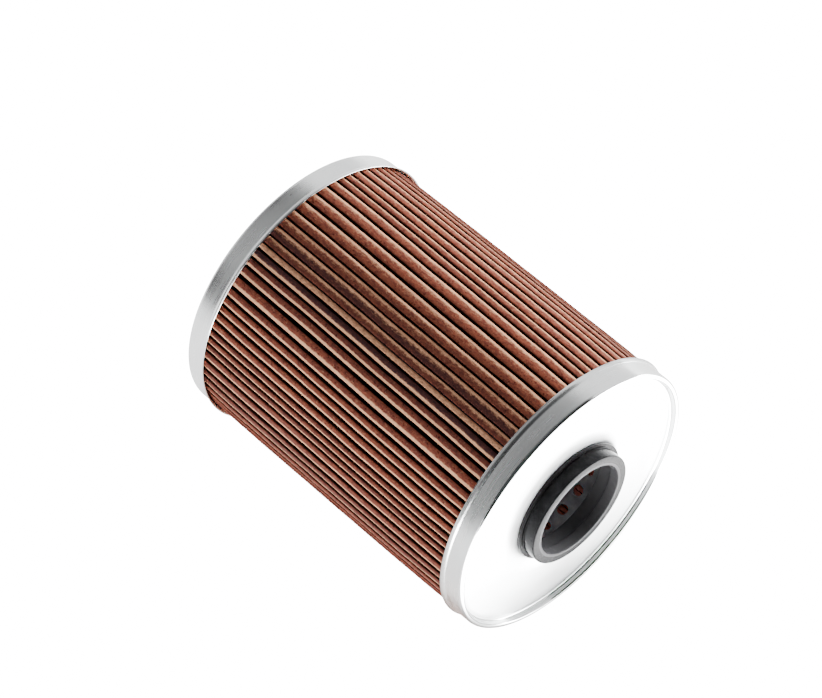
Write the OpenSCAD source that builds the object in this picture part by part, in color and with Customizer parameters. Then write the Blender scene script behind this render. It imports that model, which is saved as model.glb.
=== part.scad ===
// Metal-capped cartridge oil filter element, lying on its side.
// World frame: X runs along the element, from the far end to the near end, and Z is up.
// The origin is under the middle of the element, on the surface that it lies on.
// Every piece is drawn standing on its own axis (z is 0 halfway along), then laid down.

/* [Element] */
// Length between the raised rims of the two end caps
length = 105.3; // [70:0.1:180]
// Diameter over the skirts of the end caps
cap_d = 82; // [68:0.5:120]
// Diameter of the grommet bores that seal on the housing's standpipe
bore_d = 28.6; // [20:0.1:36]

/* [End caps] */
// Thickness of the tinplate
sheet_t = 0.35; // [0.2:0.05:0.5]
// Height of a skirt, from the rim plane to its free lip
skirt_h = 7; // [5.5:0.1:12]
// Distance that the free lip flares out
lip_flare = 0.7; // [0.2:0.1:1.5]
// Height of the flared part of the skirt
lip_h = 1.1; // [0.5:0.1:2]
// Radius of the outer edge of the rim
rim_corner_r = 0.8; // [0.6:0.1:2]
// Radial width of the raised rim
rim_w = 1.6; // [1.5:0.1:6]
// Radius of the rim's inner edge
rim_inner_r = 0.7; // [0.5:0.1:1]
// Depth of the flat face below the rim plane
face_recess = 2; // [1.8:0.1:3.5]

/* [Grommets] */
// Distance that a grommet stands out past the rim plane
grommet_out = 2.75; // [1:0.05:6]
// Radial thickness of the standing collar
collar_w = 3.1; // [2:0.1:5]
// Radial thickness of the neck that sits in the cap's hole
neck_w = 1.4; // [1:0.1:3]
// Distance that the outer flange reaches past the cap's hole
flange_w = 2.8; // [2:0.1:5]
// Thickness of the outer flange
flange_t = 1.1; // [0.6:0.1:2]
// Distance that the inner snap flange reaches past the cap's hole
snap_w = 0.9; // [0.5:0.1:2]
// Length of the inner snap flange, lead-in included
snap_h = 2; // [1.2:0.1:3]
// Length of the sealing land in the bore
land_h = 2.9; // [2:0.1:5]
// Distance that the bore opens out behind the sealing land
relief_w = 0.6; // [0.3:0.1:1]
// Chamfer at the mouth of the bore and round the collar
edge_c = 0.25; // [0.1:0.05:0.5]

/* [Centre tube] */
// Thickness of the tube's wall
tube_t = 0.5; // [0.3:0.05:1]
// Clearance between a snap flange and the tube
tube_clearance = 0.2; // [0.1:0.05:0.6]
// Diameter of the perforations
hole_d = 3.1; // [1.5:0.1:4]
// Number of perforations round the tube
holes_round = 16; // [8:1:18]
// Distance of the end rows of perforations from the rim planes
first_row = 8.1; // [6:0.1:14]
// Distance between rows of perforations, roughly
row_pitch = 6.9; // [4.5:0.1:12]
// Width of the lock seam
seam_w = 2.2; // [1.5:0.1:3]
// Height of the lock seam outside the tube
seam_h = 0.5; // [0.3:0.05:1]

/* [Paper] */
// Number of pleats
pleats = 81; // [50:1:92]
// Thickness of the paper
paper_t = 0.45; // [0.3:0.01:0.55]
// Width of the outer fold of a pleat
fold_w = 2.3; // [1.6:0.05:2.4]
// Gap left inside an inner fold
inner_gap = 0.12; // [0.05:0.01:0.2]
// Clearance between the inner folds and the tube's seam
paper_clearance = 0.3; // [0.1:0.05:1]
// Gap between the outer folds and the skirts
skirt_gap = 0.15; // [0.1:0.05:3]

/* [Seam clip] */
// Thickness of the clip's metal
clip_t = 0.3; // [0.2:0.05:0.5]
// Depth of the clip's legs along the paper
clip_depth = 5.5; // [3:0.5:9]
// Distance that each paper end stands away from the clip's middle plane
clip_inner_gap = 0.06; // [0.03:0.01:0.1]

/* [Potting] */
// Thickness of a potting bed over the cap's face
bed_t = 2; // [1.5:0.1:2.5]

/* [Hidden] */
$fn = 96;
arc_steps = 6;              // straight steps in a quarter round of sheet metal
tube_turn = 18.6;           // turns the rows of perforations
seam_angle = 0;             // where the ends of the paper meet, on the underside

half_l = length / 2;
cap_r = cap_d / 2;
lip_r = cap_r + lip_flare;
bore_r = bore_d / 2;
hole_r = bore_r + neck_w;                        // hole in each end cap
snap_r = hole_r + snap_w;
tube_in_r = snap_r + tube_clearance;
tube_out_r = tube_in_r + tube_t;
fold_in_r = tube_out_r + seam_h + paper_clearance;
fold_out_r = cap_r - sheet_t - skirt_gap;
face_z = half_l - face_recess;                   // outer side of a cap's flat face
bed_z = face_z - sheet_t;                        // where the potting starts
paper_end_z = bed_z - bed_t;                     // the paper's ends stand on the potting
pleat_angle = 360 / pleats;
rows = max(2, 1 + round((length - 2 * first_row) / row_pitch));
row_step = (length - 2 * first_row) / (rows - 1);

// Points along a circular arc, from angle a to angle b
function arc(cx, cy, r, a, b) =
  [for (i = [0:arc_steps]) let (t = a + (b - a) * i / arc_steps) [cx + r * cos(t), cy + r * sin(t)]];

// A point at radius r that stands w beside the line at the given angle
function beside(r, angle, w) =
  let (along = sqrt(r * r - w * w))
  [along * cos(angle) - w * sin(angle), along * sin(angle) + w * cos(angle)];

// Half a cap's section, from the hole to the lip: depth 0 is the outer side, sheet_t the inner side
function cap_line(depth) = concat(
  [[hole_r, face_z - depth]],
  arc(cap_r - rim_w - rim_inner_r, face_z + rim_inner_r, rim_inner_r + depth, 270, 360),
  arc(cap_r - rim_w + rim_inner_r, half_l - rim_inner_r, rim_inner_r - depth, 180, 90),
  arc(cap_r - rim_corner_r, half_l - rim_corner_r, rim_corner_r - depth, 90, 0),
  [[cap_r - depth, half_l - skirt_h + lip_h]],
  [[lip_r - depth, half_l - skirt_h]]
);

// The pleats' outer line seen from outside (depth 0) or from inside (depth paper_t)
function pleat_line(depth, first, last) = [
  for (i = [first:last])
    let (tip = seam_angle + i * pleat_angle, valley = tip + pleat_angle / 2)
    for (k = [0:3])
      k == 0 ? beside(fold_out_r - depth, tip, -(fold_w / 2 - depth)) :
      k == 1 ? beside(fold_out_r - depth, tip, fold_w / 2 - depth) :
      k == 2 ? beside(fold_in_r + paper_t - depth, valley, -(inner_gap / 2 + depth)) :
      beside(fold_in_r + paper_t - depth, valley, inner_gap / 2 + depth)
];

function reversed(list) = [for (i = [len(list) - 1:-1:0]) list[i]];

module laid_down() {
  translate([0, 0, lip_r]) rotate([0, 90, 0]) children();
}

module far_end() {
  mirror([0, 0, 1]) children();
}

module end_cap() {
  rotate_extrude() polygon(concat(cap_line(0), reversed(cap_line(sheet_t))));
}

module grommet() {
  top = half_l + grommet_out;
  collar_r = bore_r + collar_w;
  flange_r = hole_r + flange_w;
  snap_z = bed_z - snap_h;
  rotate_extrude() polygon([
    [bore_r, top - edge_c],
    [bore_r + edge_c, top],
    [collar_r - edge_c, top],
    [collar_r, top - edge_c],
    [collar_r, face_z + flange_t],
    [flange_r - edge_c, face_z + flange_t],
    [flange_r, face_z + flange_t - edge_c],
    [flange_r, face_z],
    [hole_r, face_z],
    [hole_r, bed_z],
    [snap_r, bed_z],
    [snap_r, bed_z - snap_h / 2],
    [hole_r, snap_z],
    [bore_r + relief_w, snap_z],
    [bore_r + relief_w, top - land_h - relief_w],
    [bore_r, top - land_h]
  ]);
}

module potting_bed() {
  inner_r = tube_out_r + seam_h + tube_clearance;
  rotate_extrude() polygon(concat(
    [[inner_r, paper_end_z], [inner_r, bed_z]],
    [for (p = cap_line(sheet_t)) if (p[0] > inner_r && p[1] >= bed_z - 0.001) p],
    [[cap_r - sheet_t, paper_end_z]]
  ));
}

module ring(out_r, in_r, h) {
  difference() {
    cylinder(r = out_r, h = h, center = true);
    cylinder(r = in_r, h = h + 1, center = true);
  }
}

module perforated_tube() {
  difference() {
    union() {
      ring(tube_out_r, tube_in_r, 2 * bed_z);
      intersection() {
        ring(tube_out_r + seam_h, tube_in_r + tube_t / 2, 2 * bed_z);
        rotate(tube_turn + 180 / holes_round) translate([tube_out_r, 0, 0])
          cube([4 * (tube_t + seam_h), seam_w, 2 * bed_z], center = true);
      }
    }
    for (row = [0:rows - 1])
      for (i = [0:holes_round - 1])
        rotate(tube_turn + i * 360 / holes_round)
          translate([0, 0, row * row_step - half_l + first_row])
            rotate([0, 90, 0]) translate([0, 0, tube_in_r - 1]) cylinder(d = hole_d, h = tube_t + 2);
  }
}

// The folded strip: its two ends stand side by side in the clip, where one outer fold would be
module paper_strip() {
  end_r = fold_out_r - clip_t;
  near_side = clip_inner_gap;
  far_side = clip_inner_gap + paper_t;
  linear_extrude(height = 2 * paper_end_z, center = true) polygon(concat(
    [beside(end_r, seam_angle, near_side), beside(end_r, seam_angle, far_side)],
    [beside(end_r - clip_depth, seam_angle, far_side)],
    [for (i = [2:3]) pleat_line(0, 0, 0)[i]],
    pleat_line(0, 1, pleats - 1),
    [beside(end_r - clip_depth, seam_angle, -far_side)],
    [beside(end_r, seam_angle, -far_side), beside(end_r, seam_angle, -near_side)],
    [beside(end_r - clip_depth, seam_angle, -near_side)],
    reversed(pleat_line(paper_t, 1, pleats - 1)),
    reversed([for (i = [2:3]) pleat_line(paper_t, 0, 0)[i]]),
    [beside(end_r - clip_depth, seam_angle, near_side)]
  ));
}

module clip() {
  inner_w = 2 * (clip_inner_gap + paper_t);
  outer_w = inner_w + 2 * clip_t;
  rotate(seam_angle) translate([fold_out_r - clip_depth, 0, 0]) difference() {
    translate([0, -outer_w / 2, -paper_end_z]) cube([clip_depth, outer_w, 2 * paper_end_z]);
    translate([-1, -inner_w / 2, -paper_end_z - 1])
      cube([clip_depth - clip_t + 1, inner_w, 2 * paper_end_z + 2]);
  }
}

module near_end_cap() {
  color("gainsboro") laid_down() end_cap();
}

module far_end_cap() {
  color("gainsboro") laid_down() far_end() end_cap();
}

module near_grommet() {
  color("dimgray") laid_down() grommet();
}

module far_grommet() {
  color("dimgray") laid_down() far_end() grommet();
}

module centre_tube() {
  color("slategray") laid_down() perforated_tube();
}

module pleated_paper() {
  color("sienna") laid_down() paper_strip();
}

module seam_clip() {
  color("silver") laid_down() clip();
}

module near_potting_bed() {
  color("darkslategray") laid_down() potting_bed();
}

module far_potting_bed() {
  color("darkslategray") laid_down() far_end() potting_bed();
}

near_end_cap();
far_end_cap();
near_grommet();
far_grommet();
centre_tube();
pleated_paper();
seam_clip();
near_potting_bed();
far_potting_bed();
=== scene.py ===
import math
import random

import bmesh
import bpy
from mathutils import Matrix, Vector, noise


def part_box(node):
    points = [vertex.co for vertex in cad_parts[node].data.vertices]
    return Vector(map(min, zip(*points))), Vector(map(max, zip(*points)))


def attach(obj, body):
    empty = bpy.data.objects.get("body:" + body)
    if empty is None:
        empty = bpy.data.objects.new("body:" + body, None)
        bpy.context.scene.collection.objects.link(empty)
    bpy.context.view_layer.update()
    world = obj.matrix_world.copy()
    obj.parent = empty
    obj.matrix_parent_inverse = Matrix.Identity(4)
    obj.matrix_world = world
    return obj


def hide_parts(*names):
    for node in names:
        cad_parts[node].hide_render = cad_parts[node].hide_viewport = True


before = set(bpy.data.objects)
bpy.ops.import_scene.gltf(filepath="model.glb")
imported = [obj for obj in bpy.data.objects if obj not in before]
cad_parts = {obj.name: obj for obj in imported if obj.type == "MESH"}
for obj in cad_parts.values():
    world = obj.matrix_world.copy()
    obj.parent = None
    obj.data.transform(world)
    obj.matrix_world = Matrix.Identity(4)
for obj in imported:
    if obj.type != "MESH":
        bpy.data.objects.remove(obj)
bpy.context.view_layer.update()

mm = 0.001
xAxis = Vector((1, 0, 0))

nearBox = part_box("near_end_cap")
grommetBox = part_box("near_grommet")
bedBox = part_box("near_potting_bed")
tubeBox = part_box("centre_tube")
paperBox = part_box("pleated_paper")
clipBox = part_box("seam_clip")

axisHeight = (nearBox[0][2] + nearBox[1][2]) / 2
centre = Vector((0, 0, axisHeight))
rimX = nearBox[1][0] / mm                                # plane of the near cap's raised rim
lipX = nearBox[0][0] / mm                                # where the near skirt ends
lipRadius = (nearBox[1][2] - nearBox[0][2]) / 2 / mm
collarX = grommetBox[1][0] / mm                          # front of the near grommet
flangeRadius = (grommetBox[1][2] - grommetBox[0][2]) / 2 / mm
bedX = bedBox[0][0] / mm                                 # where the paper goes into the potting
foldRadius = (paperBox[1][1] - paperBox[0][1]) / 2 / mm
tubeRadius = (tubeBox[1][1] - tubeBox[0][1]) / 2 / mm
clipBottom = (axisHeight - clipBox[0][2]) / mm


# Meshes

def sectionLine(bm, corners, closed):
    # corners are (radius, x, rounding) in mm, and a rounding of 0 leaves the corner sharp
    verts = [bm.verts.new((x * mm, 0, radius * mm)) for radius, x, rounding in corners]
    for first, second in zip(verts, verts[1:]):
        bm.edges.new((first, second))
    if closed:
        bm.edges.new((verts[-1], verts[0]))
    for size in sorted({corner[2] for corner in corners if corner[2] > 0}):
        chosen = [vert for vert, corner in zip(verts, corners) if corner[2] == size]
        bmesh.ops.bevel(
            bm, geom=chosen, offset=size * mm, offset_type="OFFSET", segments=5,
            profile=0.5, affect="VERTICES", material=-1)


def spunRing(corners, steps=180, closed=True):
    bm = bmesh.new()
    sectionLine(bm, corners, closed)
    bmesh.ops.spin(
        bm, geom=bm.verts[:] + bm.edges[:], cent=(0, 0, 0), axis=xAxis,
        angle=2 * math.pi, steps=steps, use_merge=True)
    bmesh.ops.remove_doubles(bm, verts=bm.verts, dist=0.001 * mm)
    bmesh.ops.recalc_face_normals(bm, faces=bm.faces)
    bmesh.ops.translate(bm, vec=centre, verts=bm.verts)
    return bm


def turnAround(bm):
    # the far end's pieces are the near end's, turned half round the upright axis
    bmesh.ops.rotate(bm, cent=(0, 0, 0), matrix=Matrix.Rotation(math.pi, 3, "Z"), verts=bm.verts)


def addPiece(name, bm, sharpAngle=35):
    mesh = bpy.data.meshes.new(name)
    bm.to_mesh(mesh)
    bm.free()
    for face in mesh.polygons:
        face.use_smooth = True
    mesh.set_sharp_from_angle(angle=math.radians(sharpAngle))
    piece = bpy.data.objects.new(name, mesh)
    bpy.context.collection.objects.link(piece)
    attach(piece, "root")
    return piece


# Shader groups and materials

def newGroup(name, inputs, outputs):
    group = bpy.data.node_groups.new(name, "ShaderNodeTree")
    for label, kind, value in inputs:
        socket = group.interface.new_socket(label, in_out="INPUT", socket_type=kind)
        socket.default_value = value
    for label, kind in outputs:
        group.interface.new_socket(label, in_out="OUTPUT", socket_type=kind)
    return group


def addNode(tree, kind, **settings):
    node = tree.nodes.new(kind)
    for key, value in settings.items():
        if key in node.inputs:
            node.inputs[key].default_value = value
        else:
            setattr(node, key, value)
    return node


def addNoise(tree, vector, scale, detail=3, roughness=0.6, distortion=0):
    node = addNode(tree, "ShaderNodeTexNoise", Scale=scale, Detail=detail, Roughness=roughness,
                   Distortion=distortion)
    tree.links.new(vector, node.inputs["Vector"])
    return node.outputs["Fac"]


def addRamp(tree, value, low, high, outLow=0.0, outHigh=1.0, smooth=True):
    node = addNode(tree, "ShaderNodeMapRange", interpolation_type="SMOOTHSTEP" if smooth else "LINEAR")
    for index, setting in enumerate((low, high, outLow, outHigh)):
        node.inputs[index + 1].default_value = setting
    tree.links.new(value, node.inputs[0])
    return node.outputs[0]


def addMath(tree, operation, first, second=None, clamp=False):
    node = addNode(tree, "ShaderNodeMath", operation=operation, use_clamp=clamp)
    for socket, value in zip(node.inputs, (first, second)):
        if value is None:
            continue
        if isinstance(value, (int, float)):
            socket.default_value = value
        else:
            tree.links.new(value, socket)
    return node.outputs[0]


def addMix(tree, factor, first, second, blend="MIX"):
    node = addNode(tree, "ShaderNodeMix", data_type="RGBA", blend_type=blend)
    for socket, value in ((node.inputs[0], factor), (node.inputs[6], first), (node.inputs[7], second)):
        if isinstance(value, bpy.types.NodeSocket):
            tree.links.new(value, socket)
        else:
            socket.default_value = value
    return node.outputs[2]


def newMaterial(name, **settings):
    material = bpy.data.materials.new(name)
    material.use_nodes = True
    tree = material.node_tree
    shader = tree.nodes["Principled BSDF"]
    for key, value in settings.items():
        shader.inputs[key.replace("_", " ")].default_value = value
    coordinates = tree.nodes.new("ShaderNodeTexCoord")
    centred = addNode(tree, "ShaderNodeMapping")
    centred.inputs["Location"].default_value = (0, 0, -axisHeight)
    tree.links.new(coordinates.outputs["Object"], centred.inputs["Vector"])
    return material, tree, shader, centred.outputs["Vector"]


def addBump(tree, shader, height, distance, strength=1.0):
    bump = addNode(tree, "ShaderNodeBump", Strength=strength, Distance=distance)
    tree.links.new(height, bump.inputs["Height"])
    tree.links.new(bump.outputs["Normal"], shader.inputs["Normal"])


def roundPattern():
    # distance from the filter's axis, and the turn round it, from centred coordinates
    group = newGroup(
        "aroundAxis", [("Vector", "NodeSocketVector", (0, 0, 0))],
        [("Radius", "NodeSocketFloat"), ("Rolled", "NodeSocketVector")])
    start = group.nodes.new("NodeGroupInput")
    end = group.nodes.new("NodeGroupOutput")
    split = group.nodes.new("ShaderNodeSeparateXYZ")
    group.links.new(start.outputs["Vector"], split.inputs[0])
    ySquared = addMath(group, "MULTIPLY", split.outputs["Y"], split.outputs["Y"])
    zSquared = addMath(group, "MULTIPLY", split.outputs["Z"], split.outputs["Z"])
    radius = addMath(group, "SQRT", addMath(group, "ADD", ySquared, zSquared))
    turn = addMath(group, "ARCTAN2", split.outputs["Y"], split.outputs["Z"])
    rolled = group.nodes.new("ShaderNodeCombineXYZ")
    group.links.new(split.outputs["X"], rolled.inputs["X"])
    group.links.new(radius, rolled.inputs["Y"])
    group.links.new(turn, rolled.inputs["Z"])
    group.links.new(radius, end.inputs["Radius"])
    group.links.new(rolled.outputs[0], end.inputs["Rolled"])
    return group


aroundAxis = roundPattern()


def addAroundAxis(tree, vector):
    node = tree.nodes.new("ShaderNodeGroup")
    node.node_tree = aroundAxis
    tree.links.new(vector, node.inputs["Vector"])
    return node.outputs["Radius"], node.outputs["Rolled"]


def addStretch(tree, vector, scale):
    node = addNode(tree, "ShaderNodeMapping")
    node.inputs["Scale"].default_value = scale
    tree.links.new(vector, node.inputs["Vector"])
    return node.outputs["Vector"]


def tinplate():
    material, tree, shader, vector = newMaterial("brightTinplate", Metallic=1.0)
    radius, rolled = addAroundAxis(tree, vector)
    brushed = addNoise(tree, addStretch(tree, rolled, (900, 2600, 3)), 1, detail=2)
    clouds = addNoise(tree, vector, 45, detail=4)
    specks = addRamp(tree, addNoise(tree, vector, 420, detail=2), 0.70, 0.78)
    shade = addMix(tree, addRamp(tree, clouds, 0.35, 0.7), (0.87, 0.885, 0.885, 1), (0.78, 0.795, 0.80, 1))
    shade = addMix(tree, addMath(tree, "MULTIPLY", specks, 0.35), shade, (0.45, 0.44, 0.42, 1))
    tree.links.new(shade, shader.inputs["Base Color"])
    rough = addRamp(tree, brushed, 0.3, 0.7, 0.21, 0.29, smooth=False)
    rough = addMath(tree, "ADD", rough, addRamp(tree, clouds, 0.3, 0.8, 0.0, 0.10))
    insideCorner = addRamp(tree, radius, 0.0408, 0.0410, 1.0, 0.0)
    onRim = addMath(tree, "MULTIPLY", addRamp(tree, radius, 0.0388, 0.0393), insideCorner)
    # the rolled rim is burnished, the flat face is a little duller
    rough = addMath(tree, "MULTIPLY", rough, addRamp(tree, onRim, 0.0, 1.0, 1.0, 0.35))
    rough = addMath(tree, "ADD", rough, addRamp(tree, radius, 0.0375, 0.0385, 0.18, 0.0))
    tree.links.new(rough, shader.inputs["Roughness"])
    height = addMath(tree, "ADD", addMath(tree, "MULTIPLY", brushed, 0.25), clouds)
    addBump(tree, shader, height, 0.05 * mm)
    return material


def grommetRubber():
    material, tree, shader, vector = newMaterial("mouldedRubber", Specular_IOR_Level=0.015)
    radius, rolled = addAroundAxis(tree, vector)
    bloom = addNoise(tree, vector, 160, detail=5)
    grain = addNoise(tree, vector, 2200, detail=2)
    dusting = addRamp(tree, bloom, 0.35, 0.75)
    shade = addMix(tree, dusting, (0.0045, 0.0045, 0.005, 1), (0.010, 0.010, 0.011, 1))
    # the rubber inside the bore is painted much lighter than the outside: painted light in the shaded bore
    paintedLightInBore = addRamp(tree, radius, 0.0150, 0.0153, 1.0, 0.0)
    shade = addMix(tree, paintedLightInBore, shade, (0.095, 0.095, 0.10, 1))
    tree.links.new(shade, shader.inputs["Base Color"])
    tree.links.new(addRamp(tree, bloom, 0.3, 0.7, 0.20, 0.30), shader.inputs["Roughness"])
    addBump(tree, shader, grain, 0.03 * mm, 0.6)
    return material


def tubeSteel():
    material, tree, shader, vector = newMaterial("phosphatedSteel", Metallic=0.5)
    radius, rolled = addAroundAxis(tree, vector)
    patches = addNoise(tree, vector, 130, detail=5)
    drawn = addNoise(tree, addStretch(tree, rolled, (60, 100, 90)), 1, detail=3)
    shade = addMix(tree, addRamp(tree, patches, 0.3, 0.75), (0.24, 0.24, 0.25, 1), (0.35, 0.35, 0.36, 1))
    tree.links.new(shade, shader.inputs["Base Color"])
    tree.links.new(addRamp(tree, drawn, 0.3, 0.7, 0.38, 0.55), shader.inputs["Roughness"])
    addBump(tree, shader, patches, 0.04 * mm)
    return material


def clipMetal():
    material, tree, shader, vector = newMaterial("crimpedClip", Metallic=1.0)
    scuffs = addNoise(tree, addStretch(tree, vector, (1, 6, 6)), 240, detail=4)
    shade = addMix(tree, addRamp(tree, scuffs, 0.35, 0.7), (0.62, 0.62, 0.63, 1), (0.45, 0.45, 0.46, 1))
    tree.links.new(shade, shader.inputs["Base Color"])
    tree.links.new(addRamp(tree, scuffs, 0.3, 0.7, 0.25, 0.5), shader.inputs["Roughness"])
    addBump(tree, shader, scuffs, 0.03 * mm)
    return material


def plastisol():
    material, tree, shader, vector = newMaterial("curedPlastisol")
    flow = addNoise(tree, vector, 220, detail=4, distortion=0.6)
    shade = addMix(tree, addRamp(tree, flow, 0.35, 0.7), (0.05, 0.05, 0.055, 1), (0.10, 0.10, 0.11, 1))
    tree.links.new(shade, shader.inputs["Base Color"])
    tree.links.new(addRamp(tree, flow, 0.3, 0.7, 0.3, 0.5), shader.inputs["Roughness"])
    addBump(tree, shader, flow, 0.1 * mm)
    return material


paperLook = {
    "flank": (0.255, 0.072, 0.042, 1),
    "flankDark": (0.160, 0.044, 0.030, 1),
    "dark": (0.035, 0.018, 0.022, 1),
    "crest": (0.88, 0.46, 0.27, 1),
    "paintedGapShade": (0.006, 0.002, 0.002, 1),
    "speck": (0.060, 0.008, 0.004, 1),
    "fleck": (0.46, 0.22, 0.13, 1),
    "inner": (0.42, 0.14, 0.10, 1),
}


def filterPaper():
    material, tree, shader, vector = newMaterial("resinPaper", Specular_IOR_Level=0.06)
    fold = addNode(tree, "ShaderNodeAttribute", attribute_name="crest").outputs["Fac"]
    toneAndShade = addNode(tree, "ShaderNodeAttribute", attribute_name="toneAndShade").outputs["Fac"]
    radius, rolled = addAroundAxis(tree, vector)
    fibres = addNoise(tree, addStretch(tree, vector, (0.5, 1, 1)), 1500, detail=4, roughness=0.7)
    mottle = addNoise(tree, addStretch(tree, vector, (0.5, 1, 1)), 1050, detail=4, roughness=0.7)
    clouds = addNoise(tree, addStretch(tree, vector, (0.5, 1, 1)), 60, detail=2)
    specks = addRamp(tree, addNoise(tree, vector, 1350, detail=2), 0.60, 0.68)
    scattered = addNoise(tree, addStretch(tree, vector, (0.8, 1.2, 1.1)), 1200, detail=2)
    flecks = addRamp(tree, scattered, 0.60, 0.70)
    shade = addMix(tree, addRamp(tree, mottle, 0.42, 0.62), paperLook["flank"], paperLook["flankDark"])
    shade = addMix(tree, addMath(tree, "MULTIPLY", flecks, 0.40), shade, paperLook["fleck"])
    shade = addMix(tree, addMath(tree, "MULTIPLY", specks, 0.80), shade, paperLook["speck"])
    uneven = addRamp(tree, fibres, 0.2, 0.8, 1.1, 0.7)
    # some folds are darker: random tone, and on the listed folds painted shade and a painted dark
    # reflection
    shade = addMix(tree, addMath(tree, "MULTIPLY", toneAndShade, uneven, clamp=True), shade, paperLook["dark"])
    # the crest colour goes on the shoulder of each fold that faces the light: partly edge wear, partly a
    # painted highlight
    wearAndPaintedHighlight = addMath(tree, "ADD", fold, addRamp(tree, fibres, 0.2, 0.8, -0.10, 0.10))
    shade = addMix(tree, addRamp(tree, wearAndPaintedHighlight, 0.56, 0.86), shade, paperLook["crest"])
    # near black where the crest mask is low, in the gaps and on the shaded shoulders: painted shade
    shade = addMix(tree, addRamp(tree, fold, 0.15, 0.46, 1.0, 0.0), shade, paperLook["paintedGapShade"])
    # the paper near the tube is painted lighter than the flanks: painted light on folds that lie in shade
    # behind the perforations
    shade = addMix(tree, addRamp(tree, radius, 0.0195, 0.0225, 1.0, 0.0), shade, paperLook["inner"])
    tree.links.new(shade, shader.inputs["Base Color"])
    tree.links.new(addRamp(tree, clouds, 0.3, 0.7, 0.6, 0.8), shader.inputs["Roughness"])
    height = addMath(tree, "ADD", addMath(tree, "MULTIPLY", fibres, 0.5), mottle)
    addBump(tree, shader, height, 0.16 * mm)
    return material


# End caps

cap = {
    "sheet": 0.35,
    "rimWidth": 1.6,
    "rimCorner": 1.1,
    "rimInner": 0.65,
    "recess": 2.0,
    "holeRadius": 15.7,
    "flare": 0.7,
    "flareHeight": 1.1,
    "flareBend": 0.15,        # how far the bend above the flare reaches up the skirt
    "faceRings": (24, 31),    # radii of two rings on the flat face
}


def capCorners():
    skirt = lipRadius - cap["flare"]
    rimIn = skirt - cap["rimWidth"]
    faceX = rimX - cap["recess"]
    rings = [(radius, faceX, 0) for radius in (cap["holeRadius"],) + cap["faceRings"]]
    return rings + [
        (rimIn, faceX, cap["rimInner"]),
        (rimIn, rimX, cap["rimInner"]),
        (skirt, rimX, cap["rimCorner"]),
        (skirt, lipX + cap["flareHeight"] + cap["flareBend"], 0.25),
        (lipRadius - 0.02, lipX, 0),
    ]


def endCap(name, node, atFarEnd):
    bm = spunRing(capCorners(), closed=False)
    if atFarEnd:
        turnAround(bm)
    outward = sum((face.normal.x * face.calc_area() for face in bm.faces), 0.0)
    if (outward > 0) == atFarEnd:
        bmesh.ops.reverse_faces(bm, faces=bm.faces)
    piece = addPiece(name, bm)
    wall = piece.modifiers.new("sheet", "SOLIDIFY")
    wall.thickness = cap["sheet"] * mm
    wall.offset = -1
    wall.use_even_offset = True
    piece.data.materials.append(capMaterial)
    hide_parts(node)
    return piece


# Grommets

grommet = {
    "bore": 14.3,
    "collar": 3.1,
    "neck": 1.4,
    "flangeHeight": 1.1,
    "snap": 0.9,
    "snapHeight": 2.0,
    "land": 2.9,
    "relief": 0.6,
}


def grommetCorners():
    bore = grommet["bore"]
    collarRadius = bore + grommet["collar"]
    hole = bore + grommet["neck"]
    faceX = rimX - cap["recess"]
    backX = faceX - cap["sheet"]
    snapX = backX - grommet["snapHeight"]
    return [
        (bore, collarX, 0.22),
        (collarRadius, collarX, 0.35),
        (collarRadius - 0.05, faceX + grommet["flangeHeight"], 0.2),
        (flangeRadius, faceX + grommet["flangeHeight"], 0.35),
        (flangeRadius, faceX, 0.2),
        (hole, faceX, 0),
        (hole, backX, 0),
        (hole + grommet["snap"], backX, 0.15),
        (hole + grommet["snap"], backX - grommet["snapHeight"] / 2, 0.3),
        (hole, snapX, 0.15),
        (bore + grommet["relief"], snapX, 0.15),
        (bore + grommet["relief"], collarX - grommet["land"] - grommet["relief"], 0.2),
        (bore, collarX - grommet["land"], 0.08),
    ]


def grommetSeal(name, node, atFarEnd):
    bm = spunRing(grommetCorners())
    if atFarEnd:
        turnAround(bm)
    piece = addPiece(name, bm)
    piece.data.materials.append(rubberMaterial)
    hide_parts(node)
    return piece


# Pleated paper

paper = {
    "pleats": 81,
    "thickness": 0.45,
    "innerRadius": tubeRadius + 1.25,
    "sink": 0.8,              # how far the ends go into the potting
    "steps": 36,              # lengths along the pleats
    "twist": 2.6,             # degrees from the near to the far end
    "waviness": 0.22,         # mm
    "ripple": 0.10,           # mm
    "bulge": 0.35,            # mm that the middle stands out past the ends in the caps
    "endGap": 0.5,            # mm from the clip's middle plane to the face of a paper end
    "endReach": 0.4,          # mm from the clip's outer face to the paper's end
    "endBend": 6.5,           # mm from the clip's outer face to where an end bends away
    "wander": 34,             # mm, length of the slow sideways waves
    "kink": 10,               # mm, length of the short ones
    "puff": 9,                # mm, length of the waves in height
    "seed": 11,
}

# one pleat, from valley to valley: (share of the pitch, radius below the fold, crest mask); a high crest
# mask is edge wear plus a painted highlight on the lit shoulder, a low one is painted shade on the shaded
# shoulder and in the gap
backCorners = [
    (0.17, None, 0.0),
    (0.080, 2.6, 0.0),
    (0.052, 1.00, 0.08),
    (0.055, 0.74, 0.88),
    (0.105, 0.38, 1.0),
    (0.190, 0.20, 0.94),
    (0.290, 0.12, 0.74),
    (0.400, 0.08, 0.63),
    (0.62, 0.03, 0.54),
    (0.83, 0.0, 0.5),
    (0.900, 0.07, 0.42),
    (0.940, 0.40, 0.05),
    (0.930, 2.4, 0.0),
    (0.83, None, 0.0),
]
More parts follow.
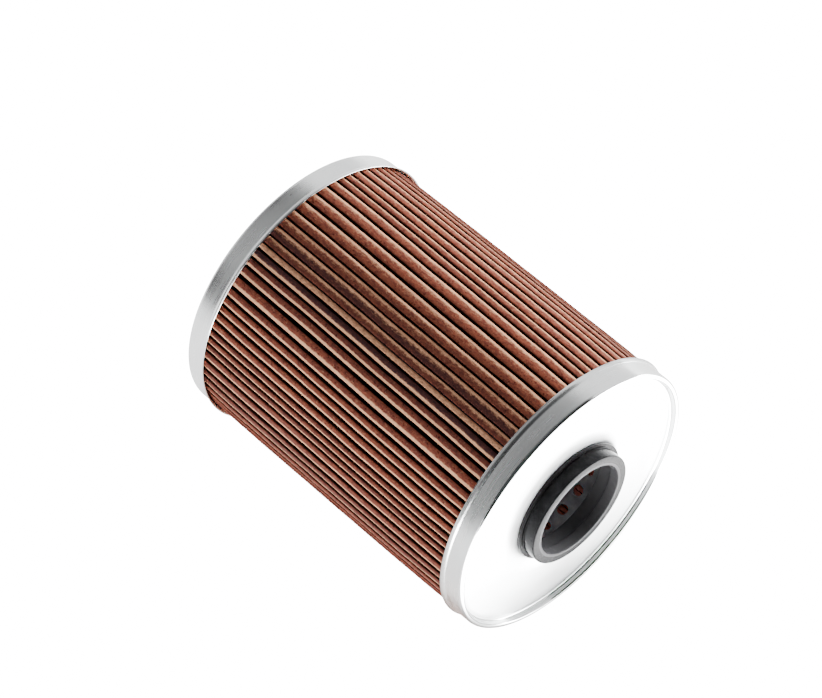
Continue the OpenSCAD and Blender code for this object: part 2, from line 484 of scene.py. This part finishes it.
# past frontTurn the painted highlight moves to the other shoulder, the one that faces the light there
frontCorners = [
    (0.17, None, 0.0),
    (0.200, 2.4, 0.0),
    (0.175, 0.55, 0.04),
    (0.195, 0.12, 0.40),
    (0.255, 0.0, 0.5),
    (0.500, 0.02, 0.5),
    (0.625, 0.06, 0.60),
    (0.705, 0.11, 0.80),
    (0.790, 0.19, 0.98),
    (0.890, 0.38, 1.0),
    (0.932, 0.68, 0.88),
    (0.948, 1.00, 0.08),
    (0.920, 2.6, 0.0),
    (0.83, None, 0.0),
]
frontTurn = 208.5             # past this turn the folds lean the other way
paintedLitFold = 0.76             # crest mask all over a fold painted bright, a painted highlight (darkness below 0)

# where the upper folds begin, in degrees round from the underside, and how dark each one is: random tone,
# with painted shade and a painted dark reflection on some folds; below 0 the fold is painted bright
seenFolds = [
    (134.5, 0.0), (139.5, 0.0), (144.5, 0.1), (149.5, 0.0), (154.5, 0.0), (159.5, 0.15),
    (163.5, 0.2), (167.5, 0.0), (172.5, 0.0), (178.2, 0.0), (183.6, 0.05), (189.2, 0.15),
    (193.7, 0.25), (198.2, 0.75), (203.0, 0.4), (206.8, -0.30), (209.3, 0.9), (213.6, 0.4),
    (217.5, 0.3), (221.9, 0.05), (227.4, 0.2), (231.7, 0.05), (235.5, 0.0), (239.1, 0.05),
    (243.1, 0.0), (247.2, 0.4), (250.6, 0.2), (254.1, 0.5), (257.6, 0.25), (262.6, 0.3),
    (268.0, 0.5), (272.6, 0.5), (278.5, 0.3), (284.5, 0.2),
]


def pleatPoint(share, depth):
    # share 0 and 1 are the valleys, and a depth of None is the inner fold
    turn = (share + 0.5) * 2 * math.pi / paper["pleats"]
    radius = paper["innerRadius"] if depth is None else foldRadius - depth
    return Vector((0, radius * math.sin(turn), -radius * math.cos(turn))) * mm


def addPleats(bm, crest, corners, first, count):
    # one pleat's outline, copied round the axis
    verts = []
    for share, depth, mask in [(0.0, None, 0.0)] + corners + [(1.0, None, 0.0)]:
        vert = bm.verts.new(pleatPoint(first + share, depth))
        vert[crest] = mask
        verts.append(vert)
    edges = [bm.edges.new(pair) for pair in zip(verts, verts[1:])]
    bmesh.ops.spin(
        bm, geom=verts + edges, cent=(0, 0, 0), axis=xAxis,
        angle=(count - 1) * 2 * math.pi / paper["pleats"], steps=count - 1, use_duplicate=True)


def seamEnd(bm, side):
    # the strip's end stands beside the clip's middle plane, at the bottom of the filter
    turn = side * math.pi / paper["pleats"]
    inner = paper["innerRadius"]
    valley = bm.verts.new(Vector((0, inner * math.sin(turn), -inner * math.cos(turn))) * mm)
    bend = bm.verts.new(Vector((0, side * paper["endGap"], -(clipBottom - paper["endBend"]))) * mm)
    top = bm.verts.new(Vector((0, side * paper["endGap"], -(clipBottom - paper["endReach"]))) * mm)
    bm.edges.new((valley, bend))
    bm.edges.new((bend, top))


def foldStarts(rng):
    # each valley's turn and its fold's darkness, once round from beside the clip; the listed darkness is
    # partly painted shade
    half = 180 / paper["pleats"]
    hidden = paper["pleats"] - 1 - (len(seenFolds) - 1)
    first, last = seenFolds[0][0], seenFolds[-1][0]
    before = round(hidden * (first - half) / (first + 360 - last - 2 * half))
    after = hidden - before
    starts = [(half + (first - half) * index / before, rng.uniform(0, 0.3)) for index in range(before)]
    starts += seenFolds[:-1]
    step = (360 - half - last) / after
    starts += [(last + step * index, rng.uniform(0, 0.3)) for index in range(after + 1)]
    return starts


def creased(position, starts, lifts):
    # folds crowd unevenly, and wander a little to the sides and in height along their length
    x, y, z = (value / mm for value in (position.x, position.y, position.z))
    radius = math.hypot(y, z)
    turn = math.atan2(y, -z) % (2 * math.pi)
    place = turn * paper["pleats"] / (2 * math.pi) - 0.5
    if place < -0.001 or place > paper["pleats"] - 0.999:
        return position, 0.0
    index = min(int(max(place, 0)), paper["pleats"] - 2)
    crowded = math.radians(
        starts[index][0] + (starts[index + 1][0] - starts[index][0]) * (place - index))
    outward = min(1, max(0, (radius - 20) / (foldRadius - 24)))
    fromSeam = min(1, min(turn, 2 * math.pi - turn) / math.radians(20))
    shift = math.radians(paper["twist"]) * x / (2 * bedX)
    drift = noise.noise(Vector((x / paper["wander"], turn * 1.6, 3.1))) * paper["waviness"]
    drift += noise.noise(Vector((x / paper["kink"], index * 7.3, 9.7))) * paper["ripple"]
    shift += drift / foldRadius
    apart = (x / lipX) ** 2
    bulge = paper["bulge"] * max(0, 1 - apart ** 3)
    lift = lifts[index] * max(0, 1 - apart ** 4)
    lift += 0.08 * noise.noise(Vector((x / paper["puff"], index * 3.9, 1.3)))
    turn += (crowded - turn) * (0.55 + 0.45 * outward) + outward * fromSeam * shift
    radius += outward * (bulge + lift * fromSeam)
    folded = Vector((x, radius * math.sin(turn), -radius * math.cos(turn))) * mm
    return folded, starts[index][1]


def foldedPaper():
    bm = bmesh.new()
    crest = bm.verts.layers.float.new("crest")
    toneAndShade = bm.verts.layers.float.new("toneAndShade")
    draw = random.Random(paper["seed"])
    starts = foldStarts(draw)
    atBack = sum(1 for start, dark in starts if start < frontTurn)
    addPleats(bm, crest, backCorners, 0, atBack)
    addPleats(bm, crest, frontCorners, atBack, paper["pleats"] - 1 - atBack)
    for side in (-1, 1):
        seamEnd(bm, side)
    bmesh.ops.remove_doubles(bm, verts=bm.verts, dist=0.01 * mm)
    reach = bedX + paper["sink"]
    bmesh.ops.translate(bm, vec=(-reach * mm, 0, 0), verts=bm.verts)
    step = 2 * reach * mm / paper["steps"]
    edges = bm.edges[:]
    for _ in range(paper["steps"]):
        grown = bmesh.ops.extrude_edge_only(bm, edges=edges)["geom"]
        verts = [item for item in grown if isinstance(item, bmesh.types.BMVert)]
        edges = [item for item in grown if isinstance(item, bmesh.types.BMEdge)]
        bmesh.ops.translate(bm, vec=(step, 0, 0), verts=verts)
    lifts = [draw.uniform(-0.12, 0.02) for _ in range(paper["pleats"])]
    for vert in bm.verts:
        vert.co, vert[toneAndShade] = creased(vert.co, starts, lifts)
        if vert[toneAndShade] < 0 and vert[crest] > 0.3:
            vert[crest] = paintedLitFold
    bmesh.ops.recalc_face_normals(bm, faces=bm.faces)
    bmesh.ops.translate(bm, vec=centre, verts=bm.verts)
    top = max(bm.faces, key=lambda face: face.calc_center_median().z)
    if top.normal.z < 0:
        bmesh.ops.reverse_faces(bm, faces=bm.faces)
    piece = addPiece("pleatedPaper", bm, sharpAngle=60)
    wall = piece.modifiers.new("paperThickness", "SOLIDIFY")
    wall.thickness = paper["thickness"] * mm
    wall.offset = -1
    piece.data.materials.append(filterPaper())
    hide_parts("pleated_paper")
    return piece


capMaterial = tinplate()
rubberMaterial = grommetRubber()
endCap("nearEndCap", "near_end_cap", atFarEnd=False)
endCap("farEndCap", "far_end_cap", atFarEnd=True)
grommetSeal("nearGrommet", "near_grommet", atFarEnd=False)
grommetSeal("farGrommet", "far_grommet", atFarEnd=True)
print("caps and grommets made")
folded = foldedPaper()
print("paper folded", len(folded.data.vertices), "points")

potting = plastisol()
for node, material in (
        ("centre_tube", tubeSteel()), ("seam_clip", clipMetal()),
        ("near_potting_bed", potting), ("far_potting_bed", potting)):
    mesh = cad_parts[node].data
    mesh.materials.clear()
    mesh.materials.append(material)
print("finishes on the tube, clip and potting")


# Camera, floor and lights

view = {
    "azimuth": -44.05,        # degrees from X towards Y, where the camera stands
    "elevation": 52.05,
    "distance": 0.8875,
    "lens": 148.7,
    "aimRight": 0.04223,      # where the near cap's middle sits from the centre of the view
    "aimDown": 0.04052,
}


def addCamera():
    azimuth, elevation = math.radians(view["azimuth"]), math.radians(view["elevation"])
    back = Vector((
        math.cos(elevation) * math.cos(azimuth), math.cos(elevation) * math.sin(azimuth),
        math.sin(elevation)))
    right = Vector((0, 0, 1)).cross(back).normalized()
    up = back.cross(right)
    nearMiddle = Vector((rimX * mm, 0, axisHeight))
    camera = bpy.data.objects.new("camera", bpy.data.cameras.new("camera"))
    camera.data.lens = view["lens"]
    camera.data.sensor_width = 36
    camera.data.clip_start = 0.01
    place = nearMiddle + back * view["distance"] - right * view["aimRight"] + up * view["aimDown"]
    turn = Matrix((right, up, back)).transposed().to_4x4()
    camera.matrix_world = Matrix.Translation(place) @ turn
    bpy.context.collection.objects.link(camera)
    bpy.context.scene.camera = camera


def addSoftbox(name, direction, distance, width, height, power, along=(0, 0, 1), mirrored=True):
    # height runs the way of along, as far as the direction lets it
    light = bpy.data.lights.new(name, "AREA")
    light.shape = "RECTANGLE"
    light.size, light.size_y = width, height
    light.energy = power
    softbox = bpy.data.objects.new(name, light)
    back = Vector(direction).normalized()
    right = Vector(along).cross(back).normalized()
    turn = Matrix((right, back.cross(right), back)).transposed().to_4x4()
    softbox.matrix_world = Matrix.Translation(centre + back * distance) @ turn
    softbox.visible_glossy = mirrored
    bpy.context.collection.objects.link(softbox)


floorGlow = {
    "lighting": 3.5,          # what the floor sheds on dull surfaces
    "seen": 18,
    "mirroredPastEnd": 32,    # in mirror reflections, past the near end
    "mirrored": 1.5,
    "mirroredUnder": 0.03,
}


def greyGlow(name):
    return (floorGlow[name],) * 3 + (1,)


def addFloor():
    bm = bmesh.new()
    bmesh.ops.create_grid(bm, x_segments=1, y_segments=1, size=3)
    mesh = bpy.data.meshes.new("floor")
    bm.to_mesh(mesh)
    bm.free()
    floor = bpy.data.objects.new("floor", mesh)
    bpy.context.collection.objects.link(floor)
    material, tree, shader, vector = newMaterial(
        "paleFloor", Base_Color=(0.9, 0.9, 0.9, 1), Roughness=0.9, Emission_Strength=1.0)
    # the floor glows white: in mirror reflections more past the near end, and hardly under the filter, a
    # painted shadow seen in reflections
    split = tree.nodes.new("ShaderNodeSeparateXYZ")
    tree.links.new(vector, split.inputs[0])
    aside = addMath(tree, "SUBTRACT", addMath(tree, "ABSOLUTE", split.outputs["Y"]), 0.042)
    along = addMath(tree, "SUBTRACT", addMath(tree, "ABSOLUTE", split.outputs["X"]), 0.055)
    outside = addRamp(tree, addMath(tree, "MAXIMUM", along, aside), 0.0, 0.014)
    past = addRamp(tree, split.outputs["X"], 0.060, 0.078)
    path = tree.nodes.new("ShaderNodeLightPath")
    mirrored = addMix(tree, past, greyGlow("mirrored"), greyGlow("mirroredPastEnd"))
    mirrored = addMix(tree, outside, greyGlow("mirroredUnder"), mirrored)
    glow = addMix(tree, path.outputs["Is Glossy Ray"], greyGlow("lighting"), mirrored)
    glow = addMix(tree, path.outputs["Is Camera Ray"], glow, greyGlow("seen"))
    tree.links.new(glow, shader.inputs["Emission Color"])
    mesh.materials.append(material)


def addWorld():
    world = bpy.data.worlds.new("studio")
    world.use_nodes = True
    world.node_tree.nodes["Background"].inputs["Color"].default_value = (1, 1, 1, 1)
    world.node_tree.nodes["Background"].inputs["Strength"].default_value = 0.05
    bpy.context.scene.world = world


addCamera()
addFloor()
addWorld()
addSoftbox("backBox", (0.1, 0.955, 0.30), 0.9, 1.0, 0.42, 21, mirrored=False)
addSoftbox("backCard", (-0.2, 0.88, 0.45), 1.0, 2.4, 0.9, 11)
addSoftbox("sideBox", (0, -0.90, 0.42), 1.0, 0.8, 0.8, 2.6, mirrored=False)
addSoftbox("endBox", (-0.94, -0.163, 0.30), 0.8, 0.8, 0.5, 1.5)
addSoftbox("topStrip", (-0.44, -0.43, 0.79), 0.9, 0.45, 3.4, 2.0, along=(0, 0.88, 0.48))
print("camera, floor and lights set")
